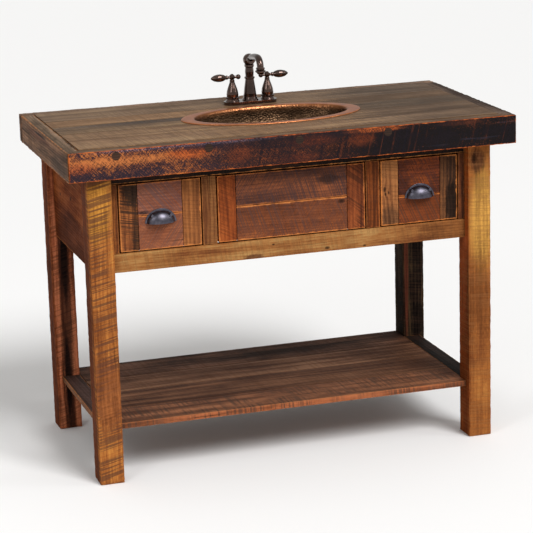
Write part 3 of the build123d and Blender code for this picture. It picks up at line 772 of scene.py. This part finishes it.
# ------------------------------------------------------------------ edgings
def front_edging_wood(low, high):
    """Dark hewn front face over brown wood, with orange rubbed arrises."""
    wood = Finish("edging_front")
    x, y, z = wood.place()
    streak = wood.noise(wood.vector(x * 3.0, y * 30.0, z * 60.0 + 3.3), detail=6.0, rough=0.65)
    mottle = wood.noise(wood.vector(x * 210.0, y * 210.0, z * 300.0), detail=4.0, rough=0.7)
    cloud = wood.noise(wood.vector(x * 7.0 + 2.0, y * 4.0, z * 22.0), detail=3.0, rough=0.6)
    fleck = wood.noise(wood.vector(x * 300.0, y * 300.0, z * 330.0), rough=0.7)
    length = (x - low.x) / (high.x - low.x)
    rise = (z - low.z) / (high.z - low.z)

    # top of the plank
    top_tone = 0.5 + (streak - 0.5) * 1.9 + (cloud - 0.5) * 1.0 + (fleck - 0.5) * 0.4
    top = wood.ramp(top_tone, [(0.1, (70, 52, 40)), (0.5, (98, 76, 58)), (0.9, (126, 98, 74))])

    # hewn face: rusty at the left, plum in the middle, navy black at the right
    hatch = wood.noise(wood.vector((x + z * 0.9) * 340.0, y * 20.0, z * 60.0))
    hatch_back = wood.noise(wood.vector((x - z * 0.8) * 310.0, y * 20.0, z * 60.0 + 5.0))
    crossed = wood.step(length, 0.40, 0.05, 0.5, 1.0)
    tone = (
        0.5
        + (mottle - 0.5) * 1.5
        + (cloud - 0.5) * 1.4
        + (streak - 0.5) * 0.8
        + (fleck - 0.5) * 0.8
        + (hatch - 0.5) * crossed * 1.5
        + (hatch_back - 0.5) * crossed * 1.2
    )
    rusty = wood.ramp(
        tone, [(0.10, (34, 27, 36)), (0.42, (72, 45, 42)), (0.64, (112, 62, 38)), (0.92, (172, 102, 54))]
    )
    plum = wood.ramp(
        tone, [(0.12, (20, 17, 22)), (0.45, (43, 27, 26)), (0.68, (72, 37, 25)), (0.94, (122, 62, 34))]
    )
    navy = wood.ramp(
        tone, [(0.16, (8, 8, 11)), (0.5, (17, 14, 15)), (0.76, (32, 20, 17)), (0.96, (82, 42, 26))]
    )
    reach_along = length + (cloud - 0.5) * 0.35
    face = wood.mix(wood.step(reach_along, 0.22, 0.40), rusty, plum)
    face = wood.mix(wood.step(reach_along, 0.50, 0.70), face, navy)

    # slanting blade lines over the dark part
    far_teeth = wood.noise(wood.vector((x - z * 0.24) * 84.0, y * 3.0, z * 2.0), detail=4.0, rough=0.75)
    red_line = wood.step(far_teeth, 0.565, 0.63) * wood.step(length, 0.36, 0.56)
    red_line = red_line * wood.step(cloud, 0.30, 0.55)
    face = wood.mix(red_line * 0.6, face, (104, 50, 30))
    dark_line = wood.step(far_teeth, 0.45, 0.38) * wood.step(length, 0.22, 0.5)
    face = wood.mix(dark_line * 0.7, face, (15, 14, 22))
    blue_line = wood.step(streak, 0.57, 0.68) * wood.step(length, 0.55, 0.8)
    face = wood.mix(blue_line * 0.45, face, (48, 48, 62))

    # rubbed patches round the plugs and at the left end
    for spot_x, spot_rise, reach_x, reach_rise, rubbed, strength in (
        (-0.50, 0.60, 0.150, 0.15, (186, 110, 60), 0.85),
        (-0.58, 0.42, 0.045, 0.26, (160, 80, 46), 0.6),
        (-0.29, 0.66, 0.070, 0.18, (176, 84, 38), 0.75),
        (-0.16, 0.50, 0.040, 0.35, (104, 50, 32), 0.5),
        (0.04, 0.72, 0.070, 0.20, (118, 54, 30), 0.7),
        (0.00, 0.20, 0.060, 0.16, (92, 44, 30), 0.5),
        (0.215, 0.90, 0.085, 0.10, (186, 92, 42), 0.85),
        (0.17, 0.64, 0.040, 0.28, (112, 52, 28), 0.6),
        (0.45, 0.88, 0.070, 0.10, (90, 46, 30), 0.5),
    ):
        across = (x - spot_x) / reach_x
        upright = (rise - spot_rise) / reach_rise
        reach = (across * across + upright * upright) ** 0.5 + (mottle - 0.5) * 1.5 + (streak - 0.5) * 1.3
        tint = wood.mix(wood.step(tone, 0.15, 0.8), dulled(rubbed), rubbed)
        face = wood.mix(wood.step(reach, 1.15, 0.45) * strength, face, tint)

    pits = wood.step(tone, 0.52, 0.24) * 0.5
    face = wood.mix(pits, face, (34, 24, 28))

    # painted sheen: a pale bloom under the top arris, and two dark bands along the left part
    bloom = wood.step(rise, 0.86, 0.93) * wood.step(rise, 0.99, 0.95)
    bloom = bloom * wood.step(length, 0.03, 0.12) * wood.step(length, 0.5, 0.25)
    face = wood.mix(bloom * wood.step(mottle, 0.42, 0.62) * 0.75, face, (128, 114, 134))
    band_edge = rise + (mottle - 0.5) * 0.22 + (cloud - 0.5) * 0.22
    bands = wood.most(wood.step(band_edge, 0.74, 0.84), wood.step(band_edge, 0.34, 0.20))
    bands = bands * wood.step(length, 0.42, 0.25)
    face = wood.mix(bands * wood.step(tone, 0.85, 0.40) * 0.65, face, (42, 33, 42))

    on_face = wood.step(y, low.y + 0.006, low.y + 0.0035)
    underneath = wood.step(z, low.z + 0.004, low.z + 0.002)
    colour = wood.mix(wood.most(on_face, underneath), top, face)

    # rubbed arrises
    down = wood.least(z - low.z, high.z - z)
    back = y - low.y
    inward = wood.least((x - low.x) * 0.62, high.x - x)
    arris = wood.least(wood.most(down, back), wood.most(inward, back))
    nibble = wood.lumps((x, y, z), 60.0, detail=4.0, rough=0.65)
    rub = wood.step(arris + (0.5 - nibble) * 0.0060, 0.0038, 0.0020)
    rim_tone = wood.ramp(
        nibble + (cloud - 0.5) * 0.5, [(0.3, (112, 50, 24)), (0.5, (166, 78, 34)), (0.75, (206, 116, 54))]
    )
    colour = wood.mix(rub * 0.95, colour, rim_tone)
    height = mottle * 0.9 + streak * 0.4 + fleck * 0.4 + (far_teeth - 0.5) * wood.step(length, 0.3, 0.6) * 0.7
    rough = 0.58 + (mottle - 0.5) * 0.3
    return wood.seal(colour, rough, height, 0.0016, Specular_IOR_Level=0.08)


def edging(node, grain, material, **shape):
    """Replace an edging by a hewn plank with mitred ends."""
    low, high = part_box(node)
    piece = plank(f"{node}_hewn", low, high, grain, material, hewn=0.0010, spacing=0.007, **shape)
    place(piece, node)


low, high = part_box("edging_front")
edging(
    "edging_front", X, front_edging_wood(low, high), arris=0.0026, ragged=0.0022,
    mitres=[
        (Vector((low.x, low.y, 0)), Vector((-1, 1, 0))),
        (Vector((high.x, low.y, 0)), Vector((1, 1, 0))),
    ],
)

weathered = ((66, 46, 33), (105, 75, 53), (149, 107, 77))
low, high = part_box("edging_left")
edging(
    "edging_left", Y,
    barn_wood(
        "edging_left", low, high, Y, weathered, 51.0, saw=0.3, pitch=0.006, slant=0.4, saw_tone=(70, 56, 48),
        checks=0.9,
        bands=0.4, worn=0.0032, worn_tone=(196, 124, 66), wear=0.9, relief=0.0014, streaks=1.9, fibres=1.0,
        stains=[
            ((low.x, 0.05, high.z - 0.020), (0.012, 0.16, 0.012), (112, 68, 46), 0.8),
            ((low.x, 0.03, high.z - 0.012), (0.012, 0.10, 0.004), (30, 22, 20), 0.95),
            ((low.x, -0.2, low.z + 0.02), (0.012, 0.10, 0.03), (84, 66, 54), 0.6),
            # painted sheen: a pale band along the top
            ((low.x + 0.022, 0.0, high.z), (0.030, 0.6, 0.004), (146, 124, 102), 0.75),
            ((high.x, 0.0, high.z), (0.005, 0.5, 0.012), (44, 34, 28), 0.8),
            ((high.x - 0.004, -0.20, high.z), (0.004, 0.10, 0.008), (24, 18, 16), 0.9),
        ],
    ),
    arris=0.0028, ragged=0.0026,
    mitres=[(Vector((low.x, low.y, 0)), Vector((1, -1, 0)))],
)
low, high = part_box("edging_right")
edging(
    "edging_right", Y,
    barn_wood(
        "edging_right", low, high, Y, ((58, 46, 40), (90, 74, 64), (118, 98, 84)), 53.0, saw=0.3, pitch=0.006,
        saw_tone=(52, 42, 38), checks=0.8, worn=0.0025, worn_tone=(120, 88, 64), wear=0.6, relief=0.0012,
        streaks=1.8,
    ),
    arris=0.0026, ragged=0.0022,
    mitres=[(Vector((high.x, low.y, 0)), Vector((-1, -1, 0)))],
)
low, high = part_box("edging_back")
board(
    "edging_back", X, "edging_wood", ((84, 66, 54), (116, 94, 78), (146, 118, 98)), 55.0,
    {"arris": 0.003, "ragged": 0.003, "hewn": 0.0016, "spacing": 0.008},
    saw=0.3, checks=0.8, worn=0.003, worn_tone=(128, 88, 60), wear=0.6, relief=0.0012,
    stains=[((low.x, (low.y + high.y) / 2, (low.z + high.z) / 2), (0.006, 0.05, 0.06), (104, 68, 44), 0.9)],
)


def plain_wood(name, grain, tones, seed, rough=0.5, relief=0.0005, bands=0.35):
    """Quieter wood for the parts inside."""
    wood = Finish(name)
    point = wood.place()
    along = point[grain]
    across, through = [point[axis] for axis in (X, Y, Z) if axis != grain]
    wander = wood.noise(wood.vector(along * 2.0 + seed, across * 6.0, through * 6.0)) - 0.5
    streak = wood.noise(
        wood.vector(along * 2.0 + seed, (across + wander * 0.02) * 40.0, (through + wander * 0.02) * 40.0),
        detail=6.0, rough=0.62,
    )
    ring_wave = wood.wave((across + through * 1.4 + wander * 0.03) * 700.0 + streak * 6.0)
    pores = wood.noise(wood.vector(along * 30.0, across * 600.0, through * 600.0))
    tone = 0.5 + (streak - 0.5) * 1.8 + ring_wave * bands * 0.3 + (pores - 0.5) * 0.4
    colour = wood.ramp(tone, zip((0.1, 0.5, 0.9), tones))
    height = streak * 0.6 + pores * 0.4
    return wood.seal(colour, rough + (0.5 - tone) * 0.1, height, relief, Specular_IOR_Level=0.2)


def clad(node, material):
    """Give a node its finish."""
    nodes[node].data.materials.clear()
    nodes[node].data.materials.append(material)


poplar = ((150, 112, 72), (186, 146, 100), (208, 172, 126))
cleat_wood = ((70, 44, 28), (104, 68, 44), (136, 94, 62))
inner_x = plain_wood("inner_wood_across", X, cleat_wood, 61.0, 0.6)
inner_y = plain_wood("inner_wood_deep", Y, cleat_wood, 62.0, 0.6)
clad("panel_cleats", inner_x)
for node in ("drawer_ledges", "drawer_guides", "shelf_cleats", "counter_battens"):
    clad(node, inner_y)
box_sides = plain_wood("box_wood_deep", Y, poplar, 63.0)
box_ends = plain_wood("box_wood_across", X, poplar, 64.0)
box_floor = plain_wood(
    "plywood", Y, ((168, 130, 88), (198, 160, 114), (214, 182, 138)), 65.0, 0.55, 0.0003, 0.6,
)
for side in ("left", "right"):
    clad(f"{side}_drawer_sides", box_sides)
    clad(f"{side}_drawer_ends", box_ends)
    clad(f"{side}_drawer_bottom", box_floor)
clad("edging_plugs", plain_wood("plug_wood", X, ((20, 13, 9), (44, 27, 17), (74, 45, 28)), 66.0, 0.6, 0.0008))


# ------------------------------------------------------------------ metals
def metal(name, tones, rough, mottle=0.5, coat=0.0):
    """Patinated metal: dark and light patina and a fine grit."""
    skin = Finish(name)
    x, y, z = skin.place()
    patina = skin.lumps((x, y, z), 60.0, detail=4.0, rough=0.6)
    bloom = skin.lumps((x, y, z), 14.0, detail=3.0)
    grit = skin.lumps((x, y, z), 900.0, detail=1.0)
    tone = 0.5 + (patina - 0.5) * mottle * 2.0 + (bloom - 0.5) * mottle * 1.4
    colour = skin.ramp(tone, zip((0.15, 0.5, 0.85), tones))
    height = grit * 0.03 + patina * 0.06
    gloss = rough + (patina - 0.5) * 0.22 + (grit - 0.5) * 0.06
    return skin.seal(colour, gloss, height, 0.0006, Metallic=1.0, Coat_Weight=coat, Coat_Roughness=0.15)


bronze_tones = ((44, 31, 25), (76, 55, 46), (118, 90, 78))
tap_bronze = metal("tap_bronze", bronze_tones, 0.22, 0.35, coat=0.8)
for node in ("tap_body", "tap_column", "tap_spout", "tap_aerator", "tap_nuts", "handle_left", "handle_right"):
    clad(node, tap_bronze)
clad("sink_drain", metal("drain_bronze", ((60, 34, 22), (104, 62, 42), (150, 96, 66)), 0.3))
clad("tailpiece", metal("tube_brass", ((140, 100, 52), (186, 144, 80), (214, 176, 108)), 0.32, 0.3))
clad("edging_screws", metal("steel", ((110, 110, 112), (160, 160, 162), (196, 196, 198)), 0.35, 0.3))

dents_per_metre = 210.0


def copper_skin(centre, opening, high_z):
    """Hammered copper: pale on the rim, browned in the bowl."""
    skin = Finish("copper")
    x, y, z = skin.place()
    patina = skin.lumps((x, y, z), 40.0, detail=4.0, rough=0.6)
    across = (x - centre.x) / opening[0]
    deep = (y - centre.y) / opening[1]
    reach = (across * across + deep * deep) ** 0.5
    on_rim = skin.step(reach, 0.985, 1.03)
    browned = skin.ramp(patina, [(0.25, (52, 38, 27)), (0.5, (72, 53, 38)), (0.75, (98, 74, 54))])
    rubbed = skin.ramp(patina, [(0.25, (160, 92, 56)), (0.5, (194, 118, 74)), (0.75, (222, 150, 104))])
    # painted highlight: the flat top of the rim painted brighter copper
    painted_rim_highlight = skin.step(z, high_z - 0.0012, high_z - 0.0003)
    rubbed = skin.mix(painted_rim_highlight, (236, 150, 96), rubbed)
    colour = skin.mix(on_rim, browned, rubbed)
    dent = skin.dents(skin.vector(*[part * dents_per_metre for part in (x, y, z)]), 0.3)
    height = dent * (1.0 - on_rim * 0.85) + patina * 0.1
    return skin.seal(colour, 0.30 + on_rim * 0.06 + (patina - 0.5) * 0.2, height, 0.0009, Metallic=1.0)


def rings(name, centre, profile, segments):
    """A hollow shape drawn ring by ring: each is (half length, half depth, height)."""
    lay_down()
    first = profile[0]
    bpy.ops.mesh.primitive_circle_add(vertices=segments, radius=1, location=(centre.x, centre.y, first[2]))
    piece = bpy.context.object
    piece.name = name
    piece.scale = (first[0], first[1], 1)
    settle(piece)
    bpy.ops.object.mode_set(mode="EDIT")
    bpy.context.tool_settings.mesh_select_mode = (False, True, False)
    bpy.ops.mesh.select_all(action="SELECT")
    last = first
    for ring in profile[1:]:
        bpy.ops.mesh.extrude_edges_move(TRANSFORM_OT_translate={"value": (0, 0, ring[2] - last[2])})
        bpy.ops.transform.resize(
            value=(ring[0] / last[0], ring[1] / last[1], 1), center_override=(centre.x, centre.y, ring[2])
        )
        last = ring
    bpy.ops.mesh.select_all(action="SELECT")
    bpy.ops.mesh.remove_doubles(threshold=0.00001)
    bpy.ops.mesh.normals_make_consistent(inside=False)
    bpy.ops.object.mode_set(mode="OBJECT")
    return piece


low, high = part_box("sink")
centre = (low + high) / 2
rim = ((high.x - low.x) / 2, (high.y - low.y) / 2)
rim_end_width, rim_side_width = 0.037, 0.022
opening = (rim[0] - rim_end_width, rim[1] - rim_side_width)
floor_size = (0.118, 0.062)
wall = 0.002
bowl_curve = 1.79  # higher is a flatter floor and a steeper wall
round_steps = 200
inside_rings, outside_rings = 16, 8
counter_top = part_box("counter_board_1")[1].z
bowl_depth = high.z - low.z - wall
hole = 0.0222  # radius of the drain hole, just clear of the drain


def bowl_ring(share, grow):
    """The bowl's wall at a share of its depth, grown outwards."""
    fall = share**bowl_curve
    return (
        opening[0] - (opening[0] - floor_size[0]) * fall + grow,
        opening[1] - (opening[1] - floor_size[1]) * fall + grow,
        high.z - bowl_depth * share - grow,
    )


inside = [bowl_ring(step / inside_rings, 0.0) for step in range(1, inside_rings)]
outside = [bowl_ring(step / outside_rings, wall) for step in range(outside_rings - 1, 0, -1)]
bottom = high.z - bowl_depth
floor_inside = [
    (0.112, 0.057, bottom + 0.0042), (0.098, 0.046, bottom + 0.0012), (0.075, 0.038, bottom + 0.0004),
    (0.050, 0.032, bottom), (0.034, 0.028, bottom), (hole, hole, bottom),
]
floor_outside = [
    (hole, hole, low.z), (0.05, 0.032, low.z), (0.100, 0.048, low.z), (0.114, 0.059, low.z + 0.003),
]
rim_under = [
    (opening[0] + 0.004, opening[1] + 0.004, counter_top), (rim[0] - 0.003, rim[1] - 0.003, counter_top),
    (rim[0] - 0.0008, rim[1] - 0.0008, counter_top + 0.0004), (rim[0], rim[1], counter_top + 0.0014),
    (rim[0] - 0.0010, rim[1] - 0.0010, high.z - 0.0005), (rim[0] - 0.004, rim[1] - 0.004, high.z - 0.0001),
    (rim[0] - 0.012, rim[1] - 0.010, high.z), (opening[0] + 0.008, opening[1] + 0.006, high.z),
    (opening[0] + 0.003, opening[1] + 0.003, high.z - 0.0003),
    (opening[0] + 0.0005, opening[1] + 0.0005, high.z - 0.0018),
]
whole_way = floor_outside + outside + rim_under + inside + floor_inside + floor_outside[:1]
basin = rings("sink_hammered", centre, whole_way, round_steps)
take(basin)
bpy.ops.object.shade_smooth()
basin.data.materials.append(copper_skin(centre, opening, high.z))
place(basin, "sink")


# ------------------------------------------------------------------ cup pulls
def pull_skin():
    """Blackened bronze with a soft sheen."""
    skin = Finish("pull_bronze")
    x, y, z = skin.place()
    patina = skin.lumps((x, y, z), 90.0, detail=4.0, rough=0.6)
    colour = skin.ramp(patina, [(0.2, (66, 64, 72)), (0.5, (86, 84, 94)), (0.8, (110, 106, 114))])
    return skin.seal(colour, 0.36 + (patina - 0.5) * 0.12, patina, 0.0001, Metallic=1.0)


pull_finish = pull_skin()
flange_width = 0.004
hood_wall = 0.0022
plate_thickness = 0.002
post_radius = 0.004
post_length = 0.015
post_reach = 0.025  # from the middle of the pull
post_rise = 0.021  # above the cup's mouth
hair = 0.0001  # the cuts lie this far inside the dome


def ease(piece, width, segments):
    """Round the sharp edges."""
    eased = piece.modifiers.new("eased", "BEVEL")
    eased.width = width
    eased.segments = segments
    eased.limit_method = "ANGLE"
    bpy.ops.object.modifier_apply(modifier=eased.name)


def cup_pull(side):
    """A cup pull: a domed hood on a half-round back plate, open below, with its two screw posts."""
    node = f"{side}_drawer_pull"
    low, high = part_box(node)
    middle = (low.x + high.x) / 2
    depth = high.y - low.y
    half_plate = (high.x - low.x) / 2
    half_hood = half_plate - flange_width
    hood_height = high.z - low.z - flange_width

    lay_down()
    bpy.ops.mesh.primitive_uv_sphere_add(
        segments=64, ring_count=32, radius=1, location=(middle, high.y, low.z),
    )
    hood = bpy.context.object
    hood.scale = (half_hood, depth, hood_height)
    settle(hood)
    bpy.ops.object.mode_set(mode="EDIT")
    back = (middle, high.y - hair, low.z)
    mouth = (middle, high.y, low.z + hair)
    for point, outward in ((back, (0, 1, 0)), (mouth, (0, 0, -1))):
        bpy.ops.mesh.select_all(action="SELECT")
        bpy.ops.mesh.bisect(plane_co=point, plane_no=outward, clear_outer=True)
    bpy.ops.object.mode_set(mode="OBJECT")
    shell = hood.modifiers.new("shell", "SOLIDIFY")
    shell.thickness = hood_wall
    shell.offset = -1
    shell.use_even_offset = True
    bpy.ops.object.modifier_apply(modifier=shell.name)
    ease(hood, 0.0006, 2)
    parts = [hood]

    lay_down()
    bpy.ops.mesh.primitive_cylinder_add(
        vertices=96, radius=1, depth=plate_thickness, location=(middle, high.y - plate_thickness / 2, low.z),
        rotation=(math.pi / 2, 0, 0),
    )
    plate = bpy.context.object
    plate.scale = (half_plate, high.z - low.z, 1)
    settle(plate)
    open_up()
    middle_back = (middle, high.y, low.z)
    bpy.ops.mesh.bisect(plane_co=middle_back, plane_no=(0, 0, -1), use_fill=True, clear_outer=True)
    bpy.ops.object.mode_set(mode="OBJECT")
    ease(plate, 0.0008, 3)
    parts.append(plate)

    for sign in (-1, 1):
        lay_down()
        bpy.ops.mesh.primitive_cylinder_add(
            vertices=24, radius=post_radius, depth=post_length,
            location=(middle + sign * post_reach, high.y - post_length / 2, low.z + post_rise),
            rotation=(math.pi / 2, 0, 0),
        )
        post = bpy.context.object
        settle(post)
        open_up()
        bpy.ops.mesh.bevel(offset=0.0006, segments=2, affect="EDGES")
        bpy.ops.object.mode_set(mode="OBJECT")
        parts.append(post)
    pull = joined(f"{side}_pull", parts)
    bpy.ops.object.shade_smooth_by_angle(angle=math.radians(35))
    pull.data.materials.append(pull_finish)
    place(pull, node)


for side in ("left", "right"):
    cup_pull(side)

# ------------------------------------------------------------------ floor, light and camera
lay_down()
bpy.ops.mesh.primitive_plane_add(size=60, location=(0, 0, 0))
ground = bpy.context.object
ground.name = "floor"
pale = Finish("pale_floor")
ground.data.materials.append(pale.seal((0.93, 0.93, 0.93, 1.0), 0.9, Specular_IOR_Level=0.1))

world = bpy.data.worlds.new("studio")
bpy.context.scene.world = world
world.use_nodes = True
world.node_tree.nodes["Background"].inputs["Color"].default_value = (1.0, 0.99, 0.97, 1.0)
world.node_tree.nodes["Background"].inputs["Strength"].default_value = 0.50


def lamp(name, kind, power, direction, spot=(0, 0, 0)):
    """A lamp at a place, shining in one direction."""
    light = bpy.data.lights.new(name, kind)
    light.energy = power
    holder = bpy.data.objects.new(name, light)
    holder.location = spot
    holder.rotation_euler = Vector(direction).to_track_quat("-Z", "Y").to_euler()
    bpy.context.scene.collection.objects.link(holder)
    return light


key = lamp("key", "SUN", 2.3, (-0.34, 0.84, -0.86))
key.angle = math.radians(26)
for name, power, spot, target, size in (
    ("window", 14, (-2.2, -2.0, 2.4), (0, 0, 0.8), (0.7, 0.9)),
    ("strip", 8, (2.4, -1.4, 2.2), (0, 0, 0.9), (0.4, 1.2)),
):
    light = lamp(name, "AREA", power, Vector(target) - Vector(spot), spot)
    light.shape = "RECTANGLE"
    light.size, light.size_y = size

aim = Vector((0.0039, 0.0170, 0.4705))
stand_off = 6.0665
turn, tilt, lean = [math.radians(angle) for angle in (-17.224, 14.376, -1.635)]
backward = Vector((math.sin(turn) * math.cos(tilt), -math.cos(turn) * math.cos(tilt), math.sin(tilt)))
rightward = (-backward).cross(Vector((0, 0, 1))).normalized()
upward = rightward.cross(-backward)
level = math.cos(lean) * rightward + math.sin(lean) * upward
upright = math.cos(lean) * upward - math.sin(lean) * rightward
camera = bpy.data.objects.new("camera", bpy.data.cameras.new("camera"))
camera.data.lens = 148.3
camera.data.sensor_width = 36.0
camera.data.clip_end = 200.0
spot = aim + backward * stand_off
camera.matrix_world = Matrix(
    [(level[row], upright[row], backward[row], spot[row]) for row in range(3)] + [(0, 0, 0, 1)]
)
bpy.context.scene.collection.objects.link(camera)
bpy.context.scene.camera = camera
bpy.context.scene.view_settings.view_transform = "Standard"
